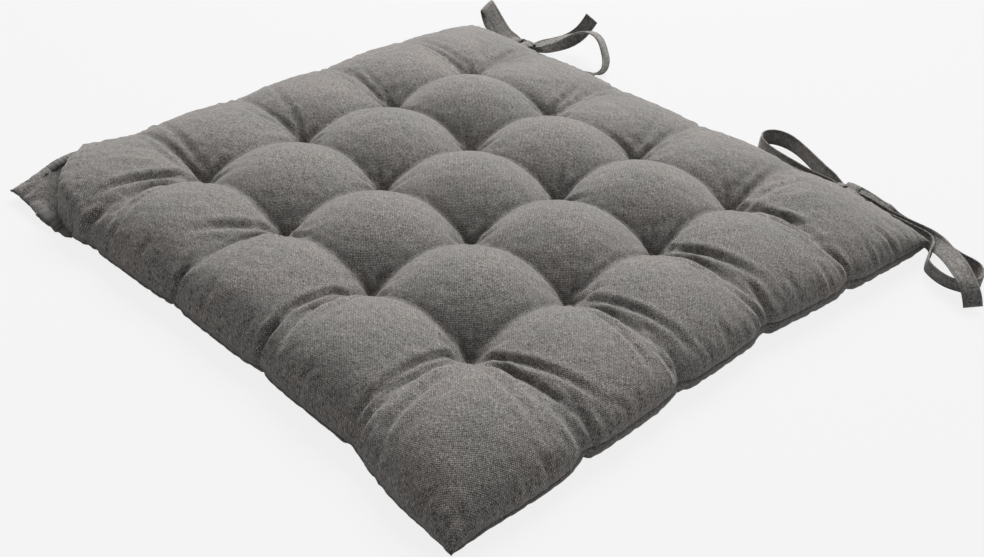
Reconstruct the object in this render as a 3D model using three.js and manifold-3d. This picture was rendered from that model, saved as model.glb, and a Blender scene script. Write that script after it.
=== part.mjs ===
// A square tufted chair seat pad: a canvas cover over a fibre filling, pulled down by sixteen
// thread tufts, with two pairs of sewn tie strips on its back edge, each pair tied in a bow.
// Millimetres, +Z up. The origin is under the middle of the pad, on the surface that it lies on.
// The back edge, with the ties, faces +Y.

import * as THREE from "three";
import { mergeVertices } from "three/addons/utils/BufferGeometryUtils.js";
import Module from "manifold-3d";

// Driving dimensions of the pad.
const PAD_SIZE = 400; // side of the square, seam to seam
const CROWN_HEIGHT = 42; // top of the fullest pillow
const SEAM_HEIGHT = 13; // the knife-edge seam, all round
const CANVAS = 1.0; // cover thickness
const CLEARANCE = 0.5; // gap between a cover and its neighbours
const TUFT_COUNT = 4; // tufts along each side
const TUFT_PITCH = 76;
const TUFT_PULL = 15; // how far a tuft pulls the top down below the valley beside it
const VALLEY_DEPTH = 10; // valley between two tufts, below the pillows beside it
const UNDERSIDE_VALLEY = 2;
const UNDERSIDE_PULL = 5;

// Threads.
const TUFT_THREAD = 1.2;
const TUFT_STITCH = 3.2; // length of the stitch that shows at each end of a tuft
const STITCH_LIFT = 3.2; // outside of that stitch, from the pinched cover
const TUFT_HOLE = 2.0;
const SEAM_THREAD = 0.4;
const SEAM_THREAD_WIDTH = 1.2;
const SEAM_ALLOWANCE = 6; // seam thread line, in from the edge
const CLOSING_LENGTH = 120; // hand-closed stretch of the back seam, where the filling went in

// Tie strips.
const TIE_WIDTH = 11.5;
const TIE_THICKNESS = 1.5;
const ROOT_WIDTH = 9;
const KNOT_RADII = [9, 6.5, 6]; // along X, Y and Z
const KNOT_GAP = 0.4; // between the two strips' halves of a knot
const LEFT_KNOT = [-145, 206, 6.3];
const RIGHT_KNOT = [140, 214, 6.8];

const HALF = PAD_SIZE / 2;
const OUTER_TUFT = ((TUFT_COUNT - 1) / 2) * TUFT_PITCH;
const TOP_EDGE = SEAM_HEIGHT + CLEARANCE + CANVAS;
const UNDERSIDE_EDGE = SEAM_HEIGHT - CLEARANCE - CANVAS;

const canvas = { color: 0x6b6762, roughness: 0.95, metalness: 0 };
const thread = { color: 0x5b5752, roughness: 0.8, metalness: 0 };
const fibre = { color: 0xe9e6df, roughness: 1, metalness: 0 };

const wasm = await Module();
wasm.setup();

// A closed geometry as a manifold solid, and back.
function toSolid(geometry) {
  const bare = geometry.clone();
  bare.deleteAttribute("normal");
  bare.deleteAttribute("uv");
  const merged = mergeVertices(bare, 1e-4);
  return new wasm.Manifold(
    new wasm.Mesh({
      numProp: 3,
      vertProperties: merged.attributes.position.array,
      triVerts: new Uint32Array(merged.index.array),
    }),
  );
}

function toGeometry(solid) {
  const { vertProperties, triVerts } = solid.getMesh();
  const geometry = new THREE.BufferGeometry();
  geometry.setAttribute("position", new THREE.BufferAttribute(vertProperties, 3));
  geometry.setIndex(new THREE.BufferAttribute(triVerts, 1));
  geometry.computeVertexNormals();
  return geometry;
}

function addMesh(group, name, geometry, finish) {
  const mesh = new THREE.Mesh(geometry, new THREE.MeshStandardMaterial(finish));
  mesh.name = name;
  group.add(mesh);
}

// Tuft positions along one axis.
const tuftLines = Array.from(
  { length: TUFT_COUNT },
  (_, i) => (i - (TUFT_COUNT - 1) / 2) * TUFT_PITCH,
);

// Grid lines along one axis: four steps to each pillow, and closer ones towards the seam.
function gridLines() {
  const inner = [0, 0.25, 0.5, 0.75, 1, 1.25, 1.5].map((k) => k * TUFT_PITCH);
  const outer = [0.26, 0.53, 0.81, 1].map((k) => OUTER_TUFT + k * (HALF - OUTER_TUFT));
  const half = [...inner, ...outer];
  return [...half.slice(1).map((x) => -x).reverse(), ...half];
}

// 1 on a line of tufts, 0 in the middle of the pillows beside it.
function nearness(u) {
  const beyond = Math.abs(u) - OUTER_TUFT;
  if (beyond > 0) return Math.max(0, 1 - beyond / (0.5 * (HALF - OUTER_TUFT)));
  const away = Math.min(...tuftLines.map((line) => Math.abs(u - line)));
  return 1 - away / (0.5 * TUFT_PITCH);
}

// How full the pad is at a distance u from its middle: 1 inside, 0 at the seam.
const fullness = (u) => Math.max(0, 1 - Math.abs(u / HALF) ** 4) ** 0.6;

function topHeight(x, y) {
  const [nx, ny] = [nearness(x), nearness(y)];
  const full = fullness(x) * fullness(y);
  const valley = VALLEY_DEPTH * full * Math.max(nx, ny) ** 2;
  const pull = TUFT_PULL * full * (nx * ny) ** 2;
  return TOP_EDGE + (CROWN_HEIGHT - TOP_EDGE) * full - valley - pull;
}

// The underside lies flat under each pillow, and lifts in the valleys and towards the seam.
function undersideHeight(x, y) {
  const [nx, ny] = [x, y].map((u) => Math.max(0, 2 * nearness(u) - 1));
  const lift = (u) => Math.max(0, (Math.abs(u) - OUTER_TUFT) / (HALF - OUTER_TUFT)) ** 2;
  const edge = UNDERSIDE_EDGE * Math.max(lift(x), lift(y));
  return Math.max(edge, UNDERSIDE_VALLEY * Math.max(nx, ny) + UNDERSIDE_PULL * nx * ny);
}

// A closed square slab between two height functions of x and y. Both its faces are split along
// the same diagonals, so that slabs on the same grid lines nest without touching.
function slab(lines, lower, upper) {
  const cells = lines.length - 1;
  const geometry = new THREE.BoxGeometry(1, 1, 1, cells, cells, 1);
  const place = geometry.attributes.position;
  for (let i = 0; i < place.count; i++) {
    const x = lines[Math.round((place.getX(i) + 0.5) * cells)];
    const y = lines[Math.round((place.getY(i) + 0.5) * cells)];
    place.setXYZ(i, x, y, place.getZ(i) > 0 ? upper(x, y) : lower(x, y));
  }
  const lowerFace = geometry.groups.at(-1);
  const corners = geometry.index.array;
  for (let i = lowerFace.start; i < lowerFace.start + lowerFace.count; i += 6) {
    const [a, b, d, , c] = corners.slice(i, i + 6);
    corners.set([a, b, c, a, c, d], i);
  }
  return geometry;
}

// A slab with a thread hole at each tuft.
function pierced(geometry) {
  let solid = toSolid(geometry);
  for (const x of tuftLines) {
    for (const y of tuftLines) {
      const hole = new THREE.BoxGeometry(TUFT_HOLE, TUFT_HOLE, 3 * CROWN_HEIGHT);
      hole.translate(x, y, 0);
      solid = solid.subtract(toSolid(hole));
    }
  }
  return toGeometry(solid);
}

function buildCover(group) {
  const lines = gridLines();
  const topInside = (x, y) => topHeight(x, y) - CANVAS;
  const undersideInside = (x, y) => undersideHeight(x, y) + CANVAS;
  addMesh(group, "cover_top_panel", pierced(slab(lines, topInside, topHeight)), canvas);
  addMesh(
    group,
    "cover_bottom_panel",
    pierced(slab(lines, undersideHeight, undersideInside)),
    canvas,
  );
}

// The filling stops one grid line short of the seam.
function buildFilling(group) {
  const lines = gridLines().slice(1, -1);
  const lower = (x, y) => undersideHeight(x, y) + CANVAS + CLEARANCE;
  const upper = (x, y) => topHeight(x, y) - CANVAS - CLEARANCE;
  addMesh(group, "fibre_filling", pierced(slab(lines, lower, upper)), fibre);
}

// The seam thread runs between the two panels; the back seam's middle is closed by a thread of its own.
function buildSeamThreads(group) {
  const outside = HALF - SEAM_ALLOWANCE;
  const inside = outside - SEAM_THREAD_WIDTH;
  const gap = CLOSING_LENGTH / 2;
  const outline = new THREE.Shape();
  outline.moveTo(gap, outside);
  outline.lineTo(outside, outside);
  outline.lineTo(outside, -outside);
  outline.lineTo(-outside, -outside);
  outline.lineTo(-outside, outside);
  outline.lineTo(-gap, outside);
  outline.lineTo(-gap, inside);
  outline.lineTo(-inside, inside);
  outline.lineTo(-inside, -inside);
  outline.lineTo(inside, -inside);
  outline.lineTo(inside, inside);
  outline.lineTo(gap, inside);
  const flat = { depth: SEAM_THREAD, bevelEnabled: false };
  const seam = new THREE.ExtrudeGeometry(outline, flat);
  seam.translate(0, 0, SEAM_HEIGHT - SEAM_THREAD / 2);
  addMesh(group, "perimeter_seam_thread", seam, thread);

  const length = CLOSING_LENGTH - 2 * CLEARANCE;
  const closing = new THREE.BoxGeometry(length, SEAM_THREAD_WIDTH, SEAM_THREAD);
  closing.translate(0, (outside + inside) / 2, SEAM_HEIGHT);
  addMesh(group, "closing_seam_thread", closing, thread);
}

// One tuft: a thread through the pad with a short stitch across each end.
function tuftThread(x, y) {
  const top = topHeight(x, y) + STITCH_LIFT;
  const bottom = undersideHeight(x, y) - STITCH_LIFT;
  const post = TUFT_THREAD / 2;
  const reach = TUFT_STITCH / 2;
  const outline = new THREE.Shape();
  outline.moveTo(-reach, bottom);
  outline.lineTo(reach, bottom);
  outline.lineTo(reach, bottom + TUFT_THREAD);
  outline.lineTo(post, bottom + TUFT_THREAD);
  outline.lineTo(post, top - TUFT_THREAD);
  outline.lineTo(reach, top - TUFT_THREAD);
  outline.lineTo(reach, top);
  outline.lineTo(-reach, top);
  outline.lineTo(-reach, top - TUFT_THREAD);
  outline.lineTo(-post, top - TUFT_THREAD);
  outline.lineTo(-post, bottom + TUFT_THREAD);
  outline.lineTo(-reach, bottom + TUFT_THREAD);
  const geometry = new THREE.ExtrudeGeometry(outline, { depth: TUFT_THREAD, bevelEnabled: false });
  geometry.translate(0, 0, -TUFT_THREAD / 2);
  geometry.rotateX(Math.PI / 2);
  geometry.translate(x, y, 0);
  return geometry;
}

function buildTufts(group) {
  let number = 0;
  for (const y of tuftLines) {
    for (const x of tuftLines) {
      number += 1;
      const name = `tuft_thread_${String(number).padStart(2, "0")}`;
      addMesh(group, name, tuftThread(x, y), thread);
    }
  }
}

// The way a strip's width points, at a stop on its route.
const ALONG_X = [1, 0, 0];
const ALONG_Y = [0, 1, 0];
const ON_EDGE = [0, 0, 1];
const LEAN_BACK = [0.15, 0.8, 0.58];
const LIE_BACK = [0.15, 0.9, 0.4];
const LIE_FLAT = [0.1, 0.97, 0.2];
const LIE_LOW = [0.15, 0.98, 0.12];
const LEAN_IN = [0, -0.45, 0.89];
const LEAN_OUT = [0.15, -0.35, 0.93];
const FACE_UP = [-0.3, 0.95, 0.1];
const ARCH = [-0.2, 0.93, -0.25];
const TAIL_UP = [0.74, 0.04, -0.67];
const TAIL_TURN = [0.3, 0.3, 0.9];
const TAIL_OVER = [0.6, 0.65, 0.45];
const TAIL_DOWN = [0.75, 0.65, 0.1];

// Each strip runs from the seam into its knot, out round its loop and back, and out to its end.
// A stop is [x, y, z, direction of the width].
const STRIPS = {
  left_tie_strip_a: {
    knot: LEFT_KNOT,
    side: -1,
    root: [
      [-150.5, 201.6, 13, ALONG_X],
      [-150.5, 203.6, 12.2, ALONG_X],
      [-149.5, 205.4, 10, ALONG_X],
    ],
    loop: [
      [-149, 206.5, 7.5, LEAN_BACK],
      [-160, 207, 7, LEAN_BACK],
      [-171, 209.5, 7.8, LEAN_BACK],
      [-183, 214.5, 10.5, LEAN_BACK],
      [-194, 219, 13.8, LEAN_BACK],
      [-203, 223, 16, LEAN_BACK],
      [-208.5, 226.5, 14.5, LEAN_BACK],
      [-210, 229, 10.5, LEAN_BACK],
      [-206, 227, 6, LIE_LOW],
      [-193, 218.5, 3.6, LIE_LOW],
      [-178, 212, 3, LIE_LOW],
      [-164, 208.8, 3.8, LIE_LOW],
      [-149, 207, 5.5, LIE_LOW],
    ],
    tail: [
      [-149, 205.8, 4.5, ALONG_Y],
      [-158, 205.6, 2.4, ALONG_Y],
      [-168, 205.5, 1.3, ALONG_Y],
      [-182, 205.5, 1.2, ALONG_Y],
      [-195, 205.5, 1.2, ALONG_Y],
    ],
  },
  left_tie_strip_b: {
    knot: LEFT_KNOT,
    side: 1,
    root: [
      [-139.5, 201.6, 13, ALONG_X],
      [-139.5, 203.6, 12.2, ALONG_X],
      [-140.5, 205.4, 10, ALONG_X],
    ],
    loop: [
      [-141, 207, 7.5, FACE_UP],
      [-134.5, 214, 10.5, FACE_UP],
      [-126.5, 223.5, 15.5, FACE_UP],
      [-116, 232.5, 22, ARCH],
      [-106, 236.5, 24.5, ARCH],
      [-97, 236, 22.5, ARCH],
      [-90, 234, 16, ARCH],
      [-85, 231, 9.5, ARCH],
      [-83, 223, 4.6, ARCH],
      [-89, 214.5, 2.4, ALONG_Y],
      [-101, 210, 1.4, ALONG_Y],
      [-116, 208.5, 1.4, ALONG_Y],
      [-130, 207.5, 2.6, ALONG_Y],
      [-141, 206.5, 4.5, ALONG_Y],
    ],
    tail: [
      [-140, 208, 7.5, TAIL_UP],
      [-138.3, 219, 6, TAIL_UP],
      [-135, 230, 6, TAIL_UP],
      [-130, 239, 8.5, TAIL_UP],
      [-124.5, 244.5, 14.5, TAIL_UP],
      [-120.5, 247.5, 22, TAIL_UP],
      [-117.5, 249, 29, TAIL_UP],
    ],
  },
  right_tie_strip_a: {
    knot: RIGHT_KNOT,
    side: -1,
    root: [
      [134.5, 201.6, 13, ALONG_X],
      [134.5, 206, 12.2, ALONG_X],
      [135.5, 210.5, 10, ALONG_X],
    ],
    loop: [
      [136, 212.8, 6.3, ON_EDGE],
      [125, 210.5, 6.2, ON_EDGE],
      [112, 210.3, 6.2, ON_EDGE],
      [99, 211.8, 6.2, ON_EDGE],
      [86, 214.2, 6.2, ON_EDGE],
      [73, 217.6, 6.2, ON_EDGE],
      [64.5, 222, 6.2, ON_EDGE],
      [60, 229, 6.2, ON_EDGE],
      [61.5, 236.5, 6.2, ON_EDGE],
      [68, 241, 6.2, ON_EDGE],
      [78, 241, 6.2, ON_EDGE],
      [90, 236.5, 6.2, ON_EDGE],
      [103, 229.8, 6.2, ON_EDGE],
      [115, 223.8, 6.2, ON_EDGE],
      [126, 219, 6.2, ON_EDGE],
      [136, 215.5, 6.3, ON_EDGE],
    ],
    tail: [
      [136, 211, 6.3, ON_EDGE],
      [128, 206, 6.2, ON_EDGE],
      [116, 204.4, 6.2, ON_EDGE],
      [102, 204.2, 6.2, ON_EDGE],
      [90, 204.4, 6.2, ON_EDGE],
    ],
  },
  right_tie_strip_b: {
    knot: RIGHT_KNOT,
    side: 1,
    root: [
      [145.5, 201.6, 13, ALONG_X],
      [145.5, 206, 12.2, ALONG_X],
      [144.5, 210.5, 10, ALONG_X],
    ],
    loop: [
      [144, 214.5, 9.5, LIE_FLAT],
      [153, 212.8, 9.6, LIE_FLAT],
      [165, 211.2, 7.4, LIE_BACK],
      [178, 209.2, 6, ON_EDGE],
      [192, 208.4, 6, LEAN_IN],
      [206, 205.9, 5.8, LEAN_IN],
      [220, 203, 5.8, LEAN_IN],
      [233, 199.8, 5.8, LEAN_IN],
      [244, 194, 6, ON_EDGE],
      [250.5, 185.5, 6.2, ON_EDGE],
      [251, 177, 6.2, ON_EDGE],
      [245.5, 170.5, 6.2, LEAN_OUT],
      [236, 168.3, 6.2, LEAN_OUT],
      [227, 170.5, 6.2, LEAN_OUT],
      [219.5, 175.5, 6.2, LEAN_OUT],
      [215.5, 184, 6.2, ON_EDGE],
      [213, 193.5, 6.2, ON_EDGE],
      [206, 201, 6.2, ON_EDGE],
      [192, 201.9, 6.2, ON_EDGE],
      [172, 202, 6.2, ON_EDGE],
      [157, 205.5, 6.2, ON_EDGE],
      [144, 212.5, 6.2, ON_EDGE],
    ],
    tail: [
      [144, 213.5, 6.3, ON_EDGE],
      [157, 209.5, 6.3, ON_EDGE],
      [173, 207, 6.2, ON_EDGE],
      [190, 206.2, 6.3, ON_EDGE],
      [202, 204.2, 7.2, ON_EDGE],
      [212, 198.5, 9, TAIL_TURN],
      [222, 190.5, 11.3, TAIL_OVER],
      [231.5, 182.5, 13.2, TAIL_OVER],
      [240, 174.5, 14.2, TAIL_OVER],
      [248, 168, 13, TAIL_DOWN],
      [253.5, 164.5, 9.5, TAIL_DOWN],
      [256.5, 163, 5.5, TAIL_DOWN],
      [258.3, 162, 2.3, TAIL_DOWN],
    ],
  },
};

const STEPS_PER_STOP = 2;

// A flat strip that follows a route of stops.
function ribbon(stops, width) {
  const smooth = (points) => new THREE.CatmullRomCurve3(points, false, "catmullrom", 0.5);
  const line = smooth(stops.map(([x, y, z]) => new THREE.Vector3(x, y, z)));
  const lean = smooth(stops.map((stop) => new THREE.Vector3(...stop[3])));
  const steps = (stops.length - 1) * STEPS_PER_STOP;
  const geometry = new THREE.BoxGeometry(1, 1, 1, steps, 1, 1);
  const place = geometry.attributes.position;
  for (let i = 0; i < place.count; i++) {
    const t = Math.round((place.getX(i) + 0.5) * steps) / steps;
    const tangent = line.getTangent(t);
    const across = lean.getPoint(t);
    across.addScaledVector(tangent, -across.dot(tangent)).normalize();
    const face = new THREE.Vector3().crossVectors(tangent, across);
    const point = line.getPoint(t);
    point.addScaledVector(across, place.getY(i) * width);
    point.addScaledVector(face, place.getZ(i) * TIE_THICKNESS);
    place.setXYZ(i, point.x, point.y, point.z);
  }
  return geometry;
}

// The half of a knot that one strip makes: the half on its loop's side.
function knotHalf(centre, side) {
  const [rx, ry, rz] = KNOT_RADII;
  const lump = new THREE.SphereGeometry(1, 14, 9);
  lump.scale(rx, ry, rz);
  const cut = new THREE.BoxGeometry(2 * rx, 4 * ry, 4 * rz);
  cut.translate(side * (-rx + KNOT_GAP / 2), 0, 0);
  return toSolid(lump).subtract(toSolid(cut)).translate(centre);
}

function buildTies(group) {
  for (const [name, strip] of Object.entries(STRIPS)) {
    const solid = toSolid(ribbon(strip.root, ROOT_WIDTH))
      .add(toSolid(ribbon(strip.loop, TIE_WIDTH)))
      .add(toSolid(ribbon(strip.tail, TIE_WIDTH)))
      .add(knotHalf(strip.knot, strip.side));
    addMesh(group, name, toGeometry(solid), canvas);
  }
}

const seatPad = new THREE.Group();
buildCover(seatPad);
buildFilling(seatPad);
buildSeamThreads(seatPad);
buildTufts(seatPad);
buildTies(seatPad);

export default seatPad;
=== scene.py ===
"""A tufted chair seat pad with two tied bows, lying on a pale studio floor.

Metres, +Z up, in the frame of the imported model: the pad lies on z = 0 with its tied edge at +Y.
"""

import itertools
import math

import bpy
import numpy as np
from mathutils import Matrix, Vector


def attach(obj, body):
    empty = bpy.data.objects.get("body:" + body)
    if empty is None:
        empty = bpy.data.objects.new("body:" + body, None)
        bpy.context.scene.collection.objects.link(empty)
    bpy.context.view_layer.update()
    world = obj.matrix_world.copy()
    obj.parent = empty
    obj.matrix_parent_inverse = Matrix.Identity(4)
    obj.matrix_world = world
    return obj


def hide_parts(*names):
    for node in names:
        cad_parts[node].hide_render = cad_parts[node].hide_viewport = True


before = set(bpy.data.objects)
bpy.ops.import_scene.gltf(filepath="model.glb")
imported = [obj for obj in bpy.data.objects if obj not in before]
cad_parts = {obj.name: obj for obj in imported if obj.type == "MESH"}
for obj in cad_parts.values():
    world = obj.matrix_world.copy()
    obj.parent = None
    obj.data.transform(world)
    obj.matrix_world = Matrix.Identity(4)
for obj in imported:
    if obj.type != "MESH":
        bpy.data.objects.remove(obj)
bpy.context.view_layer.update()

MM = 0.001

# Pad.
HALF = 200 * MM
PITCH = 76 * MM
OUTER = 1.5 * PITCH  # outermost line of tufts
MARGIN = HALF - OUTER
TUFTS = [(k - 1.5) * PITCH for k in range(4)]
SEAM_Z = 13 * MM
CORNER_DROP = 8 * MM
CROWN = 41.5 * MM
EDGE_CROWN = 36.5 * MM
SADDLE = 12.5 * MM  # depth of a valley between two tufts, below the crowns beside it
TUFT_Z = 15 * MM
UNDERSIDE_VALLEY = 2.5 * MM
UNDERSIDE_TUFT_Z = 6.5 * MM
CANVAS = 1.0 * MM
ALLOWANCE = 6 * MM
CLOSING = 120 * MM
YARN_PERIOD = 1.35 * MM
CANVAS_TINT = (0.145, 0.1375, 0.131)
TUFT_STEP = 0.35 * MM
TUFT_TWIST = 2.2 * MM

# The fold across the front left corner, whose tip lies flat like an ear.
EAR_BELLY = 5.5 * MM
EAR_PUFF = 3.5 * MM
EAR_GROOVE = 13.0 * MM
EAR_LEAN = 6.5 * MM

# The studio: its air, its key light and its floor, a glowing sheet.
AIR_LIGHT, AIR_SEEN = 0.27, 0.62
KEY_FROM, KEY_POWER, KEY_SPREAD = (-0.5, 0.78, 0.85), 3.4, 32
FLOOR_REACH, FLOOR_DROP = 14.0, 0.0002
FLOOR_GLOW, FLOOR_SEEN = 0.905, 0.93

# Cloth.
CELLS = 18  # grid cells to a pillow in the simulation
FRAMES = 20
EASE = 1.10  # cut size of a pillow's top, over its finished size
EDGE_EASE = 1.07
UNDER_EASE = 1.02
LINE_GOAL = 0.35
FREE_GOAL = 0.06
PRESSURE = 10.0

# Ties.
TIE_WIDTH = 11.5 * MM
TIE_THICKNESS = 1.5 * MM


# ---------------------------------------------------------------- camera


def place_camera():
    azimuth, elevation, roll = (math.radians(a) for a in (41.6, 34.5, 4.75))
    back = Vector(
        (
            math.sin(azimuth) * math.cos(elevation),
            -math.cos(azimuth) * math.cos(elevation),
            math.sin(elevation),
        )
    )
    level = Vector((0, 0, 1)).cross(back).normalized()
    up = back.cross(level)
    right = math.cos(roll) * level + math.sin(roll) * up
    up = -math.sin(roll) * level + math.cos(roll) * up
    place = Matrix((right, up, back)).transposed().to_4x4()
    place.translation = Vector((0.0703, -0.0532, 0.019)) + back * 0.73815
    camera = bpy.data.cameras.new("camera")
    camera.sensor_width = 36
    camera.lens = 48.33
    camera.clip_start = 0.01
    holder = bpy.data.objects.new("camera", camera)
    holder.matrix_world = place
    bpy.context.scene.collection.objects.link(holder)
    bpy.context.scene.camera = holder


# ---------------------------------------------------------------- materials


class Graph:
    """A material's node tree, with short calls that add and join its nodes."""

    def __init__(self, name):
        self.material = bpy.data.materials.new(name)
        self.material.use_nodes = True
        self.tree = self.material.node_tree
        self.shader = self.tree.nodes["Principled BSDF"]

    def node(self, kind, inputs=(), **settings):
        made = self.tree.nodes.new(kind)
        for name, value in settings.items():
            setattr(made, name, value)
        for name, value in dict(inputs).items():
            self.feed(made.inputs[name], value)
        return made

    def feed(self, socket, value):
        if isinstance(value, bpy.types.NodeSocket):
            self.tree.links.new(value, socket)
        else:
            socket.default_value = value

    def math(self, operation, a, b=0.0, c=0.0, clamp=False):
        made = self.node("ShaderNodeMath", operation=operation, use_clamp=clamp)
        for socket, value in zip(made.inputs, (a, b, c)):
            self.feed(socket, value)
        return made.outputs[0]

    def scaled(self, value, low, high, to_low=0.0, to_high=1.0):
        ends = {"From Min": low, "From Max": high, "To Min": to_low, "To Max": to_high}
        made = self.node("ShaderNodeMapRange", {"Value": value, **ends})
        return made.outputs[0]

    def blend(self, share, a, b, kind="MIX"):
        made = self.node("ShaderNodeMix", data_type="RGBA", blend_type=kind)
        for index, value in ((0, share), (6, a), (7, b)):
            self.feed(made.inputs[index], value)
        return made.outputs[2]

    def noise(self, place, scale, detail=2.0, roughness=0.5):
        made = self.node(
            "ShaderNodeTexNoise",
            {"Vector": place, "Scale": scale, "Detail": detail, "Roughness": roughness},
        )
        return made.outputs["Fac"]

    def stretched(self, place, x, y, z=1.0):
        made = self.node("ShaderNodeVectorMath", {0: place, 1: (x, y, z)}, operation="MULTIPLY")
        return made.outputs[0]

    def wave(self, value, period):
        return self.math("SINE", self.math("MULTIPLY", value, 2 * math.pi / period))


def canvas_material(name, tint):
    """Washed plain-weave cotton: two yarn sets crossing, flecked fibres and cloudy wash marks, with
    painted shade in creases and a painted highlight on ridges.
    """
    g = Graph(name)
    cloth = g.node("ShaderNodeAttribute", attribute_name="weave").outputs["Vector"]
    solid = g.node("ShaderNodeTexCoord").outputs["Object"]
    painted_shading = g.node("ShaderNodeAttribute", attribute_name="painted_shading").outputs["Fac"]
    axes = g.node("ShaderNodeSeparateXYZ", {"Vector": cloth})
    u, v = axes.outputs["X"], axes.outputs["Y"]
    sway = g.noise(cloth, 60.0, 1.0)
    sway = g.math("MULTIPLY", g.math("SUBTRACT", sway, 0.5), 0.0012)
    u, v = g.math("ADD", u, sway), g.math("ADD", v, sway)
    crossing = g.math("MULTIPLY", g.wave(u, YARN_PERIOD), g.wave(v, YARN_PERIOD))
    over = g.scaled(crossing, -0.35, 0.35)
    warp = g.noise(g.stretched(cloth, 1480.0, 420.0), 1.0, 3.0, 0.65)
    weft = g.noise(g.stretched(cloth, 380.0, 1480.0, 3.0), 1.0, 3.0, 0.65)
    weft = g.math("MULTIPLY", weft, g.math("SUBTRACT", 1.0, over))
    yarn = g.math("ADD", g.math("MULTIPLY", warp, over), weft)
    fleck = g.scaled(g.noise(g.stretched(cloth, 900.0, 420.0), 1.0, 3.0, 0.7), 0.6, 0.72)
    fleck_2 = g.scaled(g.noise(g.stretched(cloth, 380.0, 1000.0, 2.0), 1.0, 3.0, 0.7), 0.6, 0.72)
    fleck = g.math("MAXIMUM", fleck, fleck_2)
    cloud = g.noise(cloth, 34.0, 4.0, 0.6)
    patch = g.noise(g.stretched(cloth, 1.0, 1.0, 5.0), 120.0, 3.0, 0.65)
    dark, light, bright = ([c * share for c in tint] for share in (0.28, 2.3, 3.4))
    color = g.blend(g.scaled(yarn, 0.36, 0.66), (*dark, 1), (*light, 1))
    color = g.blend(g.math("MULTIPLY", fleck, 0.6), color, (*bright, 1))
    warm = g.blend(g.scaled(cloud, 0.35, 0.65), (0.975, 1.0, 0.985, 1), (1.025, 0.985, 0.975, 1))
    color = g.blend(1.0, color, warm, "MULTIPLY")
    washed = g.scaled(cloud, 0.25, 0.75, 0.93, 1.07)
    gain = g.math("ADD", washed, g.scaled(patch, 0.3, 0.7, -0.09, 0.09))
    gain = g.math("MULTIPLY", gain, g.scaled(crossing, -1.0, 1.0, 0.45, 1.5))
    # Painted shade and highlight: the colour is darkened in creases, seams and folds and lightened
    # on ridges, by the shading attribute.
    gain = g.math("MULTIPLY", gain, g.scaled(painted_shading, -1.0, 1.0, 1.16, 0.68))
    tone = g.node("ShaderNodeCombineXYZ", {"X": gain, "Y": gain, "Z": gain}).outputs[0]
    color = g.blend(1.0, color, tone, "MULTIPLY")
    g.feed(g.shader.inputs["Base Color"], color)
    fuzz = g.noise(solid, 2600.0, 2.0)
    height = g.math("ADD", g.scaled(crossing, -1.0, 1.0), g.math("MULTIPLY", yarn, 0.7))
    height = g.math("ADD", height, g.math("MULTIPLY", fuzz, 0.3))
    bump = g.node("ShaderNodeBump", {"Strength": 0.55, "Distance": 0.25 * MM, "Height": height})
    crumple = g.noise(cloth, 160.0, 3.0, 0.6)
    bump = g.node(
        "ShaderNodeBump",
        {"Strength": 0.35, "Distance": 1.2 * MM, "Height": crumple, "Normal": bump.outputs[0]},
    )
    g.feed(g.shader.inputs["Normal"], bump.outputs[0])
    g.feed(g.shader.inputs["Roughness"], g.scaled(yarn, 0.3, 0.7, 0.95, 0.86))
    g.shader.inputs["Specular IOR Level"].default_value = 0.18
    g.shader.inputs["Sheen Weight"].default_value = 0.35
    g.shader.inputs["Sheen Roughness"].default_value = 0.45
    g.shader.inputs["Sheen Tint"].default_value = (0.92, 0.89, 0.86, 1)
    return g.material


def thread_material():
    """Two-ply sewing thread: a slanting twist, with painted shade in its grooves."""
    g = Graph("thread_two_ply")
    place = g.node("ShaderNodeTexCoord").outputs["Object"]
    axes = g.node("ShaderNodeSeparateXYZ", {"Vector": place})
    slant = g.math("ADD", axes.outputs["X"], g.math("ADD", axes.outputs["Y"], axes.outputs["Z"]))
    twist = g.scaled(g.wave(slant, 0.9 * MM), -1.0, 1.0)
    fibre = g.noise(place, 3000.0, 2.0)
    mixed = g.math("ADD", g.math("MULTIPLY", twist, 0.6), g.math("MULTIPLY", fibre, 0.4))
    # Painted shade: the grooves of the twist are coloured darker.
    color = g.blend(mixed, (0.035, 0.033, 0.031, 1), (0.13, 0.124, 0.118, 1))
    g.feed(g.shader.inputs["Base Color"], color)
    bump = g.node("ShaderNodeBump", {"Strength": 0.5, "Distance": 0.1 * MM, "Height": mixed})
    g.feed(g.shader.inputs["Normal"], bump.outputs[0])
    g.feed(g.shader.inputs["Roughness"], g.scaled(fibre, 0.3, 0.7, 0.6, 0.8))
    g.shader.inputs["Specular IOR Level"].default_value = 0.3
    return g.material


def filling_material():
    """Carded polyester fibre: off-white, cloudy and matt."""
    g = Graph("filling_fibre")
    place = g.node("ShaderNodeTexCoord").outputs["Object"]
    strand = g.noise(g.stretched(place, 500.0, 120.0, 900.0), 1.0, 4.0, 0.7)
    clump = g.noise(place, 90.0, 3.0)
    color = g.blend(g.scaled(strand, 0.3, 0.7), (0.62, 0.6, 0.55, 1), (0.86, 0.85, 0.82, 1))
    color = g.blend(g.scaled(clump, 0.3, 0.7, 0.0, 0.3), color, (0.5, 0.48, 0.44, 1))
    g.feed(g.shader.inputs["Base Color"], color)
    bump = g.node("ShaderNodeBump", {"Strength": 0.7, "Distance": 1.0 * MM, "Height": strand})
    g.feed(g.shader.inputs["Normal"], bump.outputs[0])
    g.feed(g.shader.inputs["Roughness"], g.scaled(clump, 0.3, 0.7, 0.9, 1.0))
    g.shader.inputs["Sheen Weight"].default_value = 0.3
    return g.material


# ---------------------------------------------------------------- mesh helpers


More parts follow.
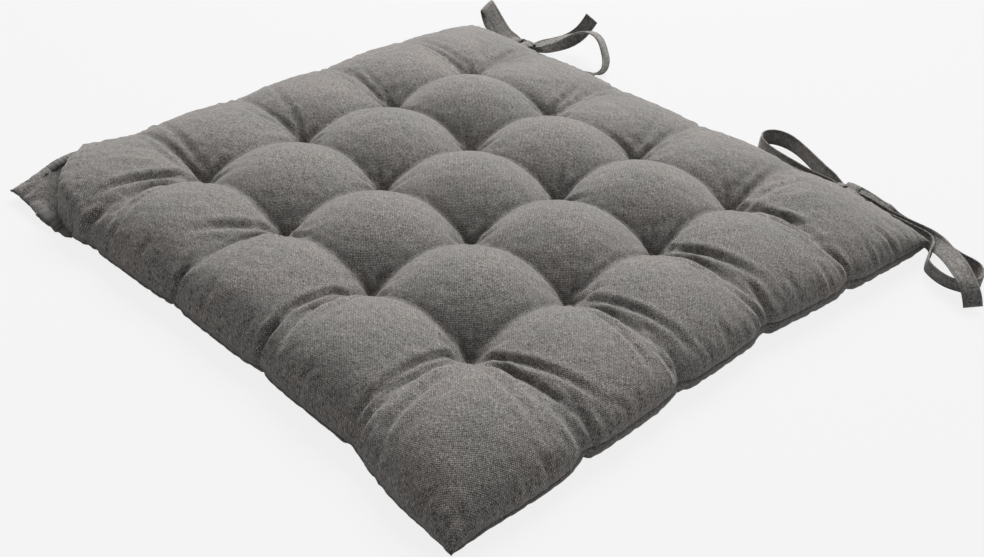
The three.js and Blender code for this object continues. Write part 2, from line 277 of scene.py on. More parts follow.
def make_piece(name, points, faces, material, attributes=()):
    mesh = bpy.data.meshes.new(name)
    mesh.from_pydata(np.asarray(points, float).tolist(), [], [list(map(int, f)) for f in faces])
    mesh.update()
    mesh.shade_smooth()
    for key, values in dict(attributes).items():
        values = np.asarray(values, np.float32)
        kind = "FLOAT_VECTOR" if values.ndim == 2 else "FLOAT"
        layer = mesh.attributes.new(key, kind, "POINT")
        layer.data.foreach_set("vector" if values.ndim == 2 else "value", values.ravel())
    mesh.materials.append(material)
    piece = bpy.data.objects.new(name, mesh)
    bpy.context.scene.collection.objects.link(piece)
    return piece


def unit(vectors):
    return vectors / np.maximum(np.linalg.norm(vectors, axis=-1, keepdims=True), 1e-12)


def smoothstep(low, high, x):
    t = np.clip((x - low) / (high - low), 0, 1)
    return t * t * (3 - 2 * t)


def smooth_line(stops, steps):
    """Uniform Catmull-Rom through the stops, with a number of steps between each two."""
    stops = np.asarray(stops, float)
    ends = np.vstack([2 * stops[0] - stops[1], stops, 2 * stops[-1] - stops[-2]])
    t = (np.arange(steps) / steps)[:, None]
    pieces = []
    for p, a, b, q in zip(ends, ends[1:], ends[2:], ends[3:]):
        m, n = (b - p) / 2, (q - a) / 2
        pieces.append(
            (2 * t**3 - 3 * t**2 + 1) * a
            + (t**3 - 2 * t**2 + t) * m
            + (3 * t**2 - 2 * t**3) * b
            + (t**3 - t**2) * n
        )
    return np.vstack([*pieces, stops[-1:]])


def along(line):
    return np.concatenate([[0], np.cumsum(np.linalg.norm(np.diff(line, axis=0), axis=1))])


def respaced(line, step, *others):
    """The line and other values along it again, at points a step apart."""
    far = along(line)
    at = np.linspace(0, far[-1], max(2, round(far[-1] / step) + 1))
    sample = lambda values: np.stack([np.interp(at, far, column) for column in values.T], axis=1)
    return [sample(values) for values in (line, *others)]


def ring_faces(rings, size, closed=False):
    """Quads between rings of points that follow each other, and end caps if it isn't closed."""
    faces = []
    for r in range(rings if closed else rings - 1):
        a, b = r * size, (r + 1) % rings * size
        for k in range(size):
            n = (k + 1) % size
            faces.append((a + k, a + n, b + n, b + k))
    if not closed:
        faces += [tuple(range(size))[::-1], tuple((rings - 1) * size + k for k in range(size))]
    return faces


def tube(line, radius, sides=6, closed=False):
    """Points and faces of a round thread along a line."""
    line = np.asarray(line, float)
    ahead = np.roll(line, -1, 0) - np.roll(line, 1, 0)
    if not closed:
        ahead[0], ahead[-1] = line[1] - line[0], line[-1] - line[-2]
    ahead = unit(ahead)
    across = np.zeros_like(line)
    side = unit(np.cross(ahead[0], (0.3, 0.5, 0.81)))
    for i, direction in enumerate(ahead):
        side = unit(side - direction * (side @ direction))
        across[i] = side
    other = np.cross(ahead, across)
    angles = 2 * math.pi * np.arange(sides) / sides
    points = (
        line[:, None]
        + radius * np.cos(angles)[None, :, None] * across[:, None]
        + radius * np.sin(angles)[None, :, None] * other[:, None]
    )
    return points.reshape(-1, 3), ring_faces(len(line), sides, closed)


# ---------------------------------------------------------------- ties

ALONG_X = (1, 0, 0)
ALONG_Y = (0, 1, 0)
ON_EDGE = (0, 0, 1)
LEAN_BACK = (0.15, 0.8, 0.58)
LIE_BACK = (0.15, 0.9, 0.4)
LIE_FLAT = (0.1, 0.97, 0.2)
LIE_LOW = (0.15, 0.98, 0.12)
LEAN_IN = (0, -0.45, 0.89)
LEAN_OUT = (0.15, -0.35, 0.93)
FACE_UP = (-0.3, 0.95, 0.1)
ARCH = (-0.2, 0.93, -0.25)
TAIL_UP = (0.74, 0.04, -0.67)
TAIL_TURN = (0.3, 0.3, 0.9)
TAIL_OVER = (0.6, 0.65, 0.45)
TAIL_DOWN = (0.75, 0.65, 0.1)

LEFT_KNOT = (-145, 206, 6.3)
RIGHT_KNOT = (140, 214, 6.8)

# Where each strip runs, in millimetres: from the seam, round its loop, and out to its end.
STRIPS = {
    "left_tie_strip_a": {
        "body": "left_bow",
        "knot": LEFT_KNOT,
        "root": [
            ((-150.5, 201.6, 13), ALONG_X),
            ((-150.5, 203.6, 12.2), ALONG_X),
        ],
        "loop": [
            ((-149, 206.5, 7.5), LEAN_BACK),
            ((-160, 207, 7), LEAN_BACK),
            ((-171, 209.5, 7.8), LEAN_BACK),
            ((-183, 214.5, 10.5), LEAN_BACK),
            ((-194, 219, 13.8), LEAN_BACK),
            ((-203, 223, 16), LEAN_BACK),
            ((-208.5, 226.5, 14.5), LEAN_BACK),
            ((-210, 229, 10.5), LEAN_BACK),
            ((-206, 227, 6), LIE_LOW),
            ((-193, 218.5, 3.6), LIE_LOW),
            ((-178, 212, 3), LIE_LOW),
            ((-164, 208.8, 3.8), LIE_LOW),
            ((-149, 207, 5.5), LIE_LOW),
        ],
        "tail": [
            ((-149, 205.8, 4.5), ALONG_Y),
            ((-158, 205.6, 2.4), ALONG_Y),
            ((-168, 205.5, 1.3), ALONG_Y),
            ((-182, 205.5, 1.2), ALONG_Y),
            ((-195, 205.5, 1.2), ALONG_Y),
        ],
    },
    "left_tie_strip_b": {
        "body": "left_bow",
        "knot": LEFT_KNOT,
        "wraps": True,
        "root": [
            ((-139.5, 201.6, 13), ALONG_X),
            ((-139.5, 203.6, 12.2), ALONG_X),
        ],
        "loop": [
            ((-141, 207, 7.5), FACE_UP),
            ((-134.5, 214, 10.5), FACE_UP),
            ((-126.5, 223.5, 15.5), FACE_UP),
            ((-116, 232.5, 22), ARCH),
            ((-106, 236.5, 24.5), ARCH),
            ((-97, 236, 22.5), ARCH),
            ((-90, 234, 16), ARCH),
            ((-85, 231, 9.5), ARCH),
            ((-83, 223, 4.6), ARCH),
            ((-89, 214.5, 2.4), ALONG_Y),
            ((-101, 210, 1.4), ALONG_Y),
            ((-116, 208.5, 1.4), ALONG_Y),
            ((-130, 207.5, 2.6), ALONG_Y),
            ((-141, 206.5, 4.5), ALONG_Y),
        ],
        "tail": [
            ((-140, 208, 7.5), TAIL_UP),
            ((-138.3, 219, 6), TAIL_UP),
            ((-135, 230, 6), TAIL_UP),
            ((-130, 239, 8.5), TAIL_UP),
            ((-124.5, 244.5, 14.5), TAIL_UP),
            ((-120.5, 247.5, 22), TAIL_UP),
            ((-117.5, 249, 29), TAIL_UP),
        ],
    },
    "right_tie_strip_a": {
        "body": "right_bow",
        "knot": RIGHT_KNOT,
        "root": [
            ((134.5, 201.6, 13), ALONG_X),
            ((134.5, 206, 12.2), ALONG_X),
        ],
        "loop": [
            ((136, 212.8, 6.3), ON_EDGE),
            ((125, 210.5, 6.2), ON_EDGE),
            ((112, 210.3, 6.2), ON_EDGE),
            ((99, 211.8, 6.2), ON_EDGE),
            ((86, 214.2, 6.2), ON_EDGE),
            ((73, 217.6, 6.2), ON_EDGE),
            ((64.5, 222, 6.2), ON_EDGE),
            ((60, 229, 6.2), ON_EDGE),
            ((61.5, 236.5, 6.2), ON_EDGE),
            ((68, 241, 6.2), ON_EDGE),
            ((78, 241, 6.2), ON_EDGE),
            ((90, 236.5, 6.2), ON_EDGE),
            ((103, 229.8, 6.2), ON_EDGE),
            ((115, 223.8, 6.2), ON_EDGE),
            ((126, 219, 6.2), ON_EDGE),
            ((136, 215.5, 6.3), ON_EDGE),
        ],
        "tail": [
            ((136, 211, 6.3), ON_EDGE),
            ((128, 206, 6.2), ON_EDGE),
            ((116, 204.4, 6.2), ON_EDGE),
            ((102, 204.2, 6.2), ON_EDGE),
            ((90, 204.4, 6.2), ON_EDGE),
        ],
    },
    "right_tie_strip_b": {
        "body": "right_bow",
        "knot": RIGHT_KNOT,
        "wraps": True,
        "root": [
            ((145.5, 201.6, 13), ALONG_X),
            ((145.5, 206, 12.2), ALONG_X),
        ],
        "loop": [
            ((144, 214.5, 9.5), LIE_FLAT),
            ((153, 212.8, 9.6), LIE_FLAT),
            ((165, 211.2, 7.4), LIE_BACK),
            ((178, 209.2, 6), ON_EDGE),
            ((192, 208.4, 6), LEAN_IN),
            ((206, 205.9, 5.8), LEAN_IN),
            ((220, 203, 5.8), LEAN_IN),
            ((233, 199.8, 5.8), LEAN_IN),
            ((244, 194, 6), ON_EDGE),
            ((250.5, 185.5, 6.2), ON_EDGE),
            ((251, 177, 6.2), ON_EDGE),
            ((245.5, 170.5, 6.2), LEAN_OUT),
            ((236, 168.3, 6.2), LEAN_OUT),
            ((227, 170.5, 6.2), LEAN_OUT),
            ((219.5, 175.5, 6.2), LEAN_OUT),
            ((215.5, 184, 6.2), ON_EDGE),
            ((213, 193.5, 6.2), ON_EDGE),
            ((206, 201, 6.2), ON_EDGE),
            ((192, 201.9, 6.2), ON_EDGE),
            ((172, 202, 6.2), ON_EDGE),
            ((157, 205.5, 6.2), ON_EDGE),
            ((144, 212.5, 6.2), ON_EDGE),
        ],
        "tail": [
            ((144, 213.5, 6.3), ON_EDGE),
            ((157, 209.5, 6.3), ON_EDGE),
            ((173, 207, 6.2), ON_EDGE),
            ((190, 206.2, 6.3), ON_EDGE),
            ((202, 204.2, 7.2), ON_EDGE),
            ((212, 198.5, 9), TAIL_TURN),
            ((222, 190.5, 11.3), TAIL_OVER),
            ((231.5, 182.5, 13.2), TAIL_OVER),
            ((240, 174.5, 14.2), TAIL_OVER),
            ((248, 168, 13), TAIL_DOWN),
            ((253.5, 164.5, 9.5), TAIL_DOWN),
            ((256.5, 163, 5.5), TAIL_DOWN),
            ((258.3, 162, 2.3), TAIL_DOWN),
        ],
    },
}


def knot_turn(knot, side):
    """The turn that a strip takes round its knot: over the top, down the back and under."""
    x, y, z = knot
    stops = []
    for k in range(15):
        angle = math.radians(50 + 27 * k)
        stops.append(
            (
                (x + side * (3.2 - 0.42 * k), y - 6.4 * math.cos(angle), z + 5.2 * math.sin(angle)),
                ALONG_X,
            )
        )
    return stops


def strip_stops(strip):
    """All of a strip's stops, each with its width's share of the full width."""
    x, y, z = strip["knot"]
    side = 1 if strip.get("wraps") else -1
    root_x = strip["root"][0][0][0]
    stops = [((root_x, 191, 11.5), ALONG_X, 0.8), ((root_x, 197, 12.6), ALONG_X, 0.8)]
    stops += [(point, lean, 0.8) for point, lean in strip["root"]]
    if strip.get("wraps"):
        stops += [(point, lean, 0.86) for point, lean in knot_turn(strip["knot"], side)]
    core = lambda lift: (x, y, z + lift)
    first, last = strip["loop"][0], strip["loop"][-1]
    stops += [(core(1.0), first[1], 0.55)]
    stops += [(point, lean, None) for point, lean in strip["loop"]]
    stops += [(core(-0.5), last[1], 0.55)]
    stops += [(point, lean, None) for point, lean in strip["tail"]]
    sized = []
    for point, lean, share in stops:
        if share is None:
            away = math.dist(point, strip["knot"])
            share = 0.55 + 0.45 * float(smoothstep(5.0, 17.0, away))
        sized.append((point, lean, share))
    return sized


def make_strip(name, strip, material, seed):
    """A folded and edge-stitched strip of canvas, gathered where it goes through its knot."""
    stops = strip_stops(strip)
    line = smooth_line([p for p, _, _ in stops], 12) * MM
    lean = smooth_line([a for _, a, _ in stops], 12)
    share = smooth_line([[w] for _, _, w in stops], 12)
    line, lean, share = respaced(line, 1.0 * MM, lean, share)
    for _ in range(6):
        line[1:-1] = (line[:-2] + 2 * line[1:-1] + line[2:]) / 4
    line, lean, share = respaced(line, 1.15 * MM, lean, share)
    ahead = unit(np.gradient(line, axis=0))
    across = unit(lean - ahead * (lean * ahead).sum(1, keepdims=True))
    face = np.cross(ahead, across)
    rng = np.random.default_rng(seed)
    far = along(line)
    waves = sum(
        rng.uniform(0.15, 0.4)
        * np.sin(far / rng.uniform(5 * MM, 16 * MM) + rng.uniform(0, 6.28))
        for _ in range(4)
    )
    sides = 28
    angle = 2 * math.pi * (np.arange(sides) + 0.5) / sides
    reach = np.sign(np.cos(angle)) * np.abs(np.cos(angle)) ** 0.55
    deep = np.sign(np.sin(angle)) * np.abs(np.sin(angle)) ** 0.6
    half = 0.5 * TIE_WIDTH * share
    stitch = np.exp(-(((reach - 0.72) / 0.09) ** 2)) + np.exp(-(((reach + 0.8) / 0.08) ** 2))
    thick = 0.5 * TIE_THICKNESS * (1 - 0.34 * stitch) * np.where(reach > 0.72, 1.12, 1.0)
    gather = np.clip(1 - share, 0, 0.45) / 0.45
    cup = 1.6 * MM * gather * (reach[None] ** 2 - 0.35)
    ripple = 0.35 * MM * gather * np.sin(reach[None] * 9.0 + far[:, None] / (2.2 * MM))
    curl = 0.45 * MM * waves[:, None] * reach[None] * (1 - gather)
    offset = thick[None] * deep[None] + cup + ripple + curl
    points = (
        line[:, None]
        + (half * reach[None])[..., None] * across[:, None]
        + offset[..., None] * face[:, None]
    )
    weave = np.stack(
        [
            np.broadcast_to(far[:, None], offset.shape),
            half * reach[None] + seed * 0.013,
            np.broadcast_to(0.2 * seed + 0.003 * (deep > 0), offset.shape),
        ],
        axis=-1,
    ).reshape(-1, 3)
    # Painted shade: the strip is darkened along its two stitch lines and where it is gathered
    # through the knot.
    painted_shading = np.clip(np.broadcast_to(1.4 * stitch, offset.shape) + 0.5 * gather, -1, 1).ravel()
    faces = ring_faces(len(line), sides)
    extra = {"weave": weave, "painted_shading": painted_shading}
    piece = make_piece(name + "_woven", points.reshape(-1, 3), faces, material, extra)
    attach(piece, strip["body"])
    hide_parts(name)
    return piece


# ---------------------------------------------------------------- cover


def grid_lines(ease, edge_reach):
    """Grid lines across the pad: CELLS to each inner pillow, and as many per length outside."""
    outside = round(CELLS * MARGIN / PITCH)
    reach = 1.5 * PITCH * ease
    middle = [(k / CELLS - 1.5) * PITCH * ease for k in range(3 * CELLS + 1)]
    right = [reach + (edge_reach - reach) * k / outside for k in range(1, outside + 1)]
    return np.array([-x for x in right[::-1]] + middle + right)


def outward(u):
    """0 up to the outer line of tufts, 1 at the seam."""
    return np.clip((np.abs(u) - OUTER) / MARGIN, 0, 1)


def crease(u):
    """1 on a line of tufts, 0 in the middle of a pillow, on a round pillow's profile."""
    inner = 2 * np.abs(u / PITCH - np.round(u / PITCH))
    s = np.where(np.abs(u) <= OUTER, inner, np.clip(1 - 1.9 * outward(u), 0, 1))
    steep = math.radians(74)
    return 1 - (np.cos(steep * s) - math.cos(steep)) / (1 - math.cos(steep))


def rise(u, power=2.4, root=0.55):
    """0 at the seam, 1 from the outer line of tufts inwards."""
    return (1 - outward(u) ** power) ** root


def side_power(x, y):
    """The front side stands up steeply from its seam, and the tied side slopes down gently."""
    return np.where(y < 0, 4.2, 1.5 + 1.0 * smoothstep(-60 * MM, 150 * MM, x))


def fading(u):
    """How much is left of a crease that runs out to the seam on this side."""
    return 1 - 0.62 * outward(u) ** 0.8


def notch(v):
    """1 where a line of tufts meets the seam."""
    return sum(np.exp(-(((v - t) / (9 * MM)) ** 2)) for t in TUFTS)


def seam_height(x, y):
    corner = np.abs(x * y) / HALF**2
    lifted = notch(y) * outward(x) ** 2 + notch(x) * outward(y) ** 2
    drop = np.where((x > 0) & (y > 0), 3.5 * MM, CORNER_DROP)
    z = SEAM_Z - drop * corner**3.5 + 1.5 * MM * lifted * (1 - corner)
    z = z - np.where(x > 0, 3.5 * MM, 0) * outward(x) * (1 - corner**2)
    z = z - np.where(y < 0, 8.5 * MM, 0) * outward(y) * (1 - 0.8 * corner**3)
    # The front left corner is twisted: its -X edge stands up and its -Y edge lies down.
    turned = np.exp(-(((x + 202 * MM) / (34 * MM)) ** 2) - ((y + 160 * MM) / (30 * MM)) ** 2)
    turned_down = np.exp(-(((x + 140 * MM) / (30 * MM)) ** 2) - ((y + 205 * MM) / (26 * MM)) ** 2)
    return z + 11.0 * MM * turned - 1.5 * MM * turned_down


def ear(x, y):
    """How far a point lies past the deep fold across the front left corner, towards its tip."""
    sideways = 0.818 * (x + 166 * MM) - 0.576 * (y + 178 * MM)
    belly = EAR_BELLY * np.clip(1 - ((sideways - 5 * MM) / (29 * MM)) ** 2, 0, 1)
    return -0.576 * (x + 206 * MM) - 0.818 * (y + 150 * MM) - belly


def top_height(x, y, crown):
    rx, ry = outward(x), outward(y)
    rise_x, rise_y = rise(x, np.where(x > 0, 3.0, 2.4)), rise(y, side_power(x, y))
    full = rise_x * rise_y
    cx, cy = crease(x), crease(y)
    twist = CROWN - TUFT_Z - 2 * SADDLE
    valley = SADDLE * (cx * fading(y) + cy * fading(x)) + twist * cx * cy
    edge = np.minimum(rise_x, rise_y) ** 0.8
    low = seam_height(x, y)
    z = low + (crown - low) * full - valley * edge
    past = ear(x, y)
    inside = 1 - np.maximum(rx, ry) ** 6
    puff = EAR_PUFF * np.sin(math.pi * np.clip(past / (38 * MM), 0, 1) ** 1.2)
    flap = low + (puff + 0.8 * MM) * inside
    groove = np.exp(-(((past - 2 * MM) / (8 * MM)) ** 2)) * (1 - rx**2) ** 1.5 * (1 - ry**8)
    flap = flap - EAR_GROOVE * groove
    return z + (flap - z) * smoothstep(-9 * MM, -1 * MM, past)


def under_height(x, y):
    full = rise(x, 17.0, 0.5) * rise(y, 17.0, 0.5)
    cx, cy = crease(x) ** 2, crease(y) ** 2
    lift = UNDERSIDE_VALLEY * (cx * fading(y) + cy * fading(x))
    lift = lift + (UNDERSIDE_TUFT_Z - 2 * UNDERSIDE_VALLEY) * cx * cy
    return seam_height(x, y) * (1 - full) + lift * full


def plan(x, y, under=False):
    """Where the cover's points lie in plan: the sides pull in between the corners."""
    ox, oy = outward(x), outward(y)
    right, back = x > 0, y > 0

    def pull(u, v, bow, nick):
        drawn = bow * (1 - (v / HALF) ** 2) + nick * notch(v) * (1 - outward(v))
        return -np.sign(u) * outward(u) ** 1.4 * drawn

    bow_x, nick_x = np.where(right, 3.5 * MM, 6 * MM), np.where(right, 3.2 * MM, 1.5 * MM)
    bow_y, nick_y = np.where(back, 5.0 * MM, 7.5 * MM), np.where(back, 2.5 * MM, 1.5 * MM)
    moved_x = x + pull(x, y, bow_x, nick_x)
    moved_y = y + pull(y, x, bow_y, nick_y)
    skew = 1.0 * MM + 7.5 * MM * smoothstep(35 * MM, 130 * MM, y)
    skew = skew - 5.0 * MM * smoothstep(-130 * MM, -200 * MM, y)
    moved_x = moved_x + np.where(right, skew * ox**1.4, 0)
    front = np.where(~back, oy**1.4, 0)
    moved_y = moved_y + front * (2 * MM * smoothstep(-120 * MM, -200 * MM, x))
    moved_y = moved_y - front * 3.5 * MM * np.exp(-(((x + 160 * MM) / (18 * MM)) ** 2))
    moved_y = moved_y - front * (7 * MM * smoothstep(100 * MM, 165 * MM, x))
    # The corner by the right bow is blunt and pushed round towards the front.
    blunt = np.where(right & back, smoothstep(0.55, 1.0, np.abs(x * y) / HALF**2), 0)
    moved_x, moved_y = moved_x + 3.0 * MM * blunt, moved_y - 4.5 * MM * blunt
    # Pillows swell sideways, so their cloth crowds towards the lines of tufts.
    def swell(u):
        s = 2 * (u / PITCH - np.round(u / PITCH))
        bent = np.sin(math.radians(46) * s) / math.sin(math.radians(46))
        return np.where(np.abs(u) <= OUTER, 0.5 * PITCH * (bent - s), 0)

    moved_x, moved_y = moved_x + swell(x), moved_y + swell(y)
    if under:
        # Below the seam the sides bulge out before they turn under.
        swell_x, swell_y = np.where(right, 1.0 * MM, -2.0 * MM), np.where(back, 2.5 * MM, 0)
        moved_x = moved_x + swell_x * np.exp(-(((ox - 0.95) / 0.05) ** 2))
        moved_y = moved_y + swell_y * np.exp(-(((oy - 0.95) / 0.05) ** 2))
        return moved_x, moved_y
    # The pillow hangs over the deep fold across the front left corner.
    past = ear(x, y)
    lean = EAR_LEAN * np.exp(-(((past + 9 * MM) / (8 * MM)) ** 2)) * (1 - ox**3) * (1 - oy**8)
    return moved_x - 0.576 * lean, moved_y - 0.818 * lean


def simulate_cover():
    """Blows the cover up as cloth on its designed shape, and returns both its sheets as grids."""
    fine = grid_lines(1.0, HALF)
    edge = 1.5 * PITCH * EASE + MARGIN * EDGE_EASE
    cuts = grid_lines(EASE, edge), grid_lines(UNDER_EASE, edge)
    n = len(fine)
    x, y = np.meshgrid(fine, fine, indexing="ij")
    rng = np.random.default_rng(11)
    row = np.round(np.clip(x / PITCH, -2, 2)).astype(int) + 2
    column = np.round(np.clip(y / PITCH, -2, 2)).astype(int) + 2
    inside = np.maximum(outward(x), outward(y))
    crown = CROWN + (EDGE_CROWN - CROWN) * smoothstep(0.0, 0.5, inside)
    lowered = 6.0 * MM - 6.5 * MM * smoothstep(-170 * MM, 110 * MM, x)
    crown = crown - np.where(y > 0, lowered, 0) * smoothstep(0.0, 0.5, outward(y))
    uneven = rng.uniform(-1.4 * MM, 1.2 * MM, (5, 5))[row, column]
    crown = crown + uneven * (1 - crease(x)) * (1 - crease(y))
    px, py = plan(x, y)
    top = np.stack([px, py, top_height(x, y, crown)], axis=-1)
    under = np.stack([*plan(x, y, under=True), under_height(x, y)], axis=-1)
    rim = np.zeros((n, n), bool)
    rim[[0, -1]] = rim[:, [0, -1]] = True
    upper = np.arange(n * n).reshape(n, n)
    lower = upper.copy()
    lower[~rim] = n * n + np.arange((~rim).sum())
    start = np.vstack([top.reshape(-1, 3), under[~rim]])
    start += rng.normal(0, 0.15 * MM, start.shape)

    def flat(cut):
        return np.stack([*np.meshgrid(cut, cut, indexing="ij"), np.zeros((n, n))], axis=-1)

    rest = np.vstack([flat(cuts[0]).reshape(-1, 3), flat(cuts[1])[~rim]])
    faces = np.vstack([grid_quads(upper), grid_quads(lower)[:, ::-1]])

    mesh = bpy.data.meshes.new("cover_cloth")
    mesh.from_pydata(start.tolist(), [], faces.tolist())
    cloth = bpy.data.objects.new("cover_cloth", mesh)
    bpy.context.scene.collection.objects.link(cloth)
    cloth.shape_key_add(name="Basis")
    cut = cloth.shape_key_add(name="cut")
    cut.data.foreach_set("co", rest.ravel())
    held = cloth.vertex_groups.new(name="held")
    goal = np.maximum(crease(x), crease(y)) ** 10
    goal = FREE_GOAL + (LINE_GOAL - FREE_GOAL) * goal * (1 - inside)
    goal = np.maximum(goal, 0.25 * (inside > 0.985))
    goal = np.maximum(goal, 0.6 * smoothstep(-14 * MM, -7 * MM, ear(x, y)))
    under_goal = np.full((n, n), 0.3)
    weights = np.concatenate([goal.ravel(), under_goal[~rim]])
    weights = np.round(weights, 2)
    for value in np.unique(weights):
        held.add(np.flatnonzero(weights == value).tolist(), float(value), "REPLACE")
    at = tuft_lines(fine)
    held.add([int(g[a, b]) for g in (upper, lower) for a in at for b in at], 1.0, "REPLACE")
    modifier = cloth.modifiers.new("Cloth", "CLOTH")
    s = modifier.settings
    s.quality, s.mass, s.air_damping = 6, 0.002, 2.0
    s.tension_stiffness = s.compression_stiffness = 10
    s.shear_stiffness, s.bending_stiffness = 2, 0.04
    s.tension_damping = s.compression_damping = s.shear_damping = 5
    s.bending_damping = 0.5
    s.vertex_group_mass, s.pin_stiffness = "held", 1.0
    s.use_pressure, s.uniform_pressure_force = True, PRESSURE
    s.rest_shape_key = cut
    s.effector_weights.gravity = 0.0
    modifier.collision_settings.use_collision = False
    modifier.collision_settings.use_self_collision = False
    modifier.point_cache.frame_start, modifier.point_cache.frame_end = 1, FRAMES
    for number in range(1, FRAMES + 1):
        bpy.context.scene.frame_set(number)
    shown = cloth.evaluated_get(bpy.context.evaluated_depsgraph_get()).data
    blown = np.zeros(len(shown.vertices) * 3)
    shown.vertices.foreach_get("co", blown)
    blown = blown.reshape(-1, 3)
    bpy.data.objects.remove(cloth)
    bpy.data.meshes.remove(mesh)
    bpy.context.scene.frame_set(1)
    return blown[upper], resting(blown[lower]), fine


def resting(grid):
    """The underside pressed flat where it lies on the floor."""
    z, soft = grid[..., 2], 1.2 * MM
    grid[..., 2] = 0.15 * MM + soft * np.logaddexp(0, z / soft)
    return grid


def doubled(grid):
    """A grid with a smooth new line between each two."""
    for axis in (0, 1):
        g = np.moveaxis(grid, axis, 0)
        ends = np.concatenate([2 * g[:1] - g[1:2], g, 2 * g[-1:] - g[-2:-1]])
        middle = (9 * (ends[1:-2] + ends[2:-1]) - ends[:-3] - ends[3:]) / 16
        made = np.empty((2 * len(g) - 1, *g.shape[1:]))
        made[::2], made[1::2] = g, middle
        grid = np.moveaxis(made, 0, axis)
    return grid


def grid_quads(ids):
    """Faces of a grid of point numbers."""
    return np.stack([ids[:-1, :-1], ids[1:, :-1], ids[1:, 1:], ids[:-1, 1:]], -1).reshape(-1, 4)


def grid_normals(grid, side):
    du, dv = np.gradient(grid, axis=0), np.gradient(grid, axis=1)
    return unit(np.cross(du, dv)) * side


def fold(x, y, start, heading, length, bend, width, depth):
    """Depth of a small fold in the cloth: a groove with a raised lip on each side."""
    t = np.linspace(0, 1, 9)[:, None]
    turn = heading + bend * t
    steps = np.hstack([np.cos(turn), np.sin(turn)]) * length / 8
    line = np.array(start) + np.cumsum(steps, axis=0) - steps[0]
    near = (np.abs(x - line[:, 0].mean()) < length) & (np.abs(y - line[:, 1].mean()) < length)
    if not near.any():
        return 0.0
    p = np.stack([x[near], y[near]], axis=-1)
    best, share = np.full(len(p), 1.0), np.zeros(len(p))
    for k in range(8):
        a, d = line[k], line[k + 1] - line[k]
        s = np.clip(((p - a) @ d) / (d @ d), 0, 1)
        off = np.linalg.norm(p - a - s[:, None] * d, axis=1)
        closer = off < best
        best[closer], share[closer] = off[closer], (k + s[closer]) / 8
    swell = np.sin(math.pi * np.clip(share, 0, 1) ** 0.7) ** 0.8
    groove = np.exp(-((best / width) ** 2)) - 0.55 * np.exp(-(((best - 2.1 * width) / width) ** 2))
    made = np.zeros_like(x)
    made[near] = -depth * swell * groove * (best < 5 * width)
    return made


def cover_folds(x, y, side):
    """Puckers round every tuft, pulls from the outer tufts to the seam, and gathers at the seam."""
    rng = np.random.default_rng(5 if side > 0 else 6)
    total = np.zeros_like(x)
    for tx in TUFTS:
        for ty in TUFTS:
            first = rng.uniform(0, 6.28)
            for k in range(7):
                angle = first + k * 2 * math.pi / 7 + rng.uniform(-0.3, 0.3)
                start = tx + 3 * MM * math.cos(angle), ty + 3 * MM * math.sin(angle)
                length = rng.uniform(9, 24) * MM
                depth = rng.uniform(0.6, 1.5) * MM
                total += fold(x, y, start, angle, length, rng.uniform(-0.6, 0.6), 1.7 * MM, depth)
    for turn in range(4):
        ahead = turn * math.pi / 2
        c, s = math.cos(ahead), math.sin(ahead)
        spot = lambda out, over: (c * out - s * over, s * out + c * over)
        strong = (0.85, 0.35, 0.35, 1.0)[turn]
        for t in TUFTS:
            for k in range(3):
                over = (k - 1) * rng.uniform(3, 7) * MM
                heading = ahead + (k - 1) * rng.uniform(0.08, 0.22) + rng.uniform(-0.06, 0.06)
                start = spot(OUTER + rng.uniform(2, 10) * MM, t + over)
                length = rng.uniform(46, 82) * MM
                depth = rng.uniform(1.6, 3.2) * MM * strong
                bend = rng.uniform(-0.35, 0.35)
                total += fold(x, y, start, heading, length, bend, rng.uniform(1.7, 2.5) * MM, depth)
            for k in range(2):
                start = spot(HALF, t + rng.uniform(-7, 7) * MM)
                heading = ahead + math.pi + rng.uniform(-0.3, 0.3)
                length = rng.uniform(14, 30) * MM
                depth = rng.uniform(1.4, 2.6) * MM * strong
                total += fold(x, y, start, heading, length, rng.uniform(-0.4, 0.4), 2.0 * MM, depth)
        for over in np.arange(-190, 190, 13) * MM:
            start = spot(HALF, over + rng.uniform(-4, 4) * MM)
            heading = ahead + math.pi + rng.uniform(-0.25, 0.25)
            length = rng.uniform(7, 22) * MM
            depth = rng.uniform(0.4, 1.1) * MM
            total += fold(x, y, start, heading, length, rng.uniform(-0.5, 0.5), 1.6 * MM, depth)
    return total


def crease_and_ridge_shading(grid, normals):
    """Painted shading: 1 in a crease, where the cloth gets painted shade, -1 on a ridge, where it
    gets a painted highlight.
    """
    total = np.zeros(grid.shape[:2])
    for reach, size in ((2, 0.5 * MM), (6, 3.0 * MM)):
        padded = np.pad(grid, ((reach, reach), (reach, reach), (0, 0)), mode="edge")
        n = len(grid)
        around = sum(
            padded[reach + a : reach + a + n, reach + b : reach + b + n]
            for a, b in ((reach, 0), (-reach, 0), (0, reach), (0, -reach))
        )
        total += np.clip(((around / 4 - grid) * normals).sum(-1) / size, -1, 1) / 2
    return total


